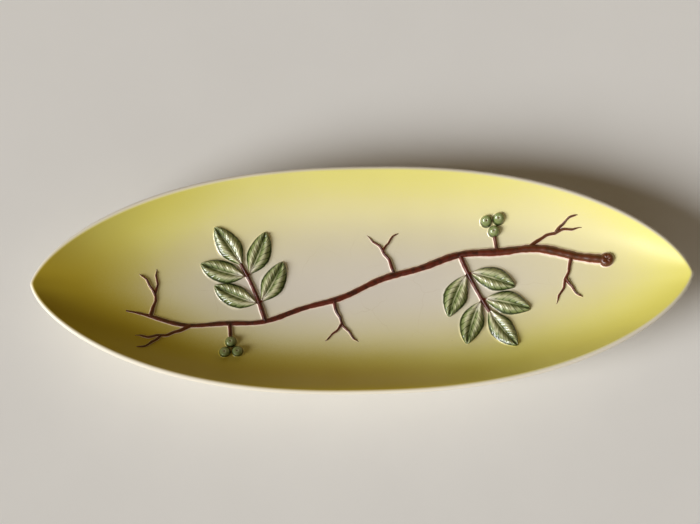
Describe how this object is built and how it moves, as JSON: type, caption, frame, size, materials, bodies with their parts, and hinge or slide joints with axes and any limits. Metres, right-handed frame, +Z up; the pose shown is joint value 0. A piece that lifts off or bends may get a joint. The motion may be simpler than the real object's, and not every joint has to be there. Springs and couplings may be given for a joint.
{
  "type": "long plate",
  "caption": "Long leaf-shaped serving plate in glazed earthenware, a shallow curved well with a raised leafy branch laid in it, standing on a low oval foot ring.",
  "frame": {"origin": "on the table, under the middle of the plate", "axes": "+X along the plate's length, +Y across it, +Z up out of the well"},
  "size_m": [0.3788, 0.1336, 0.0358],
  "materials": {
    "body_glaze": "gloss glaze, ivory in the middle of the well shading to yellow towards the lip",
    "foot_glaze": "gloss ivory glaze, bare buff clay where it meets the table",
    "twig_glaze": "gloss oxblood brown glaze, pale where it thins at the edges",
    "leaf_glaze": "gloss grey-green glaze, dark where it pools and pale on the ridges",
    "berry_glaze": "gloss green glaze, pale on the crown"
  },
  "bodies": {
    "root": {"berry_left_1": "berry_glaze", "berry_left_2": "berry_glaze", "berry_left_3": "berry_glaze", "berry_right_1": "berry_glaze", "berry_right_2": "berry_glaze", "berry_right_3": "berry_glaze", "foot_ring": "foot_glaze", "fork_far_left": "twig_glaze", "fork_far_middle": "twig_glaze", "fork_far_right": "twig_glaze", "fork_near_left": "twig_glaze", "fork_near_middle": "twig_glaze", "fork_near_right": "twig_glaze", "leaf_left_1a": "leaf_glaze", "leaf_left_1b": "leaf_glaze", "leaf_left_2a": "leaf_glaze", "leaf_left_2b": "leaf_glaze", "leaf_left_end": "leaf_glaze", "leaf_right_1a": "leaf_glaze", "leaf_right_1b": "leaf_glaze", "leaf_right_2a": "leaf_glaze", "leaf_right_2b": "leaf_glaze", "leaf_right_end": "leaf_glaze", "main_stem": "twig_glaze", "plate_body": "body_glaze", "shoot_left": "twig_glaze", "shoot_right": "twig_glaze", "stalk_left": "twig_glaze", "stalk_right": "twig_glaze", "stem_knob": "twig_glaze", "twig_far_left": "twig_glaze", "twig_far_middle": "twig_glaze", "twig_far_right": "twig_glaze", "twig_near_left": "twig_glaze", "twig_near_middle": "twig_glaze", "twig_near_right": "twig_glaze"}
  },
  "joints": []
}
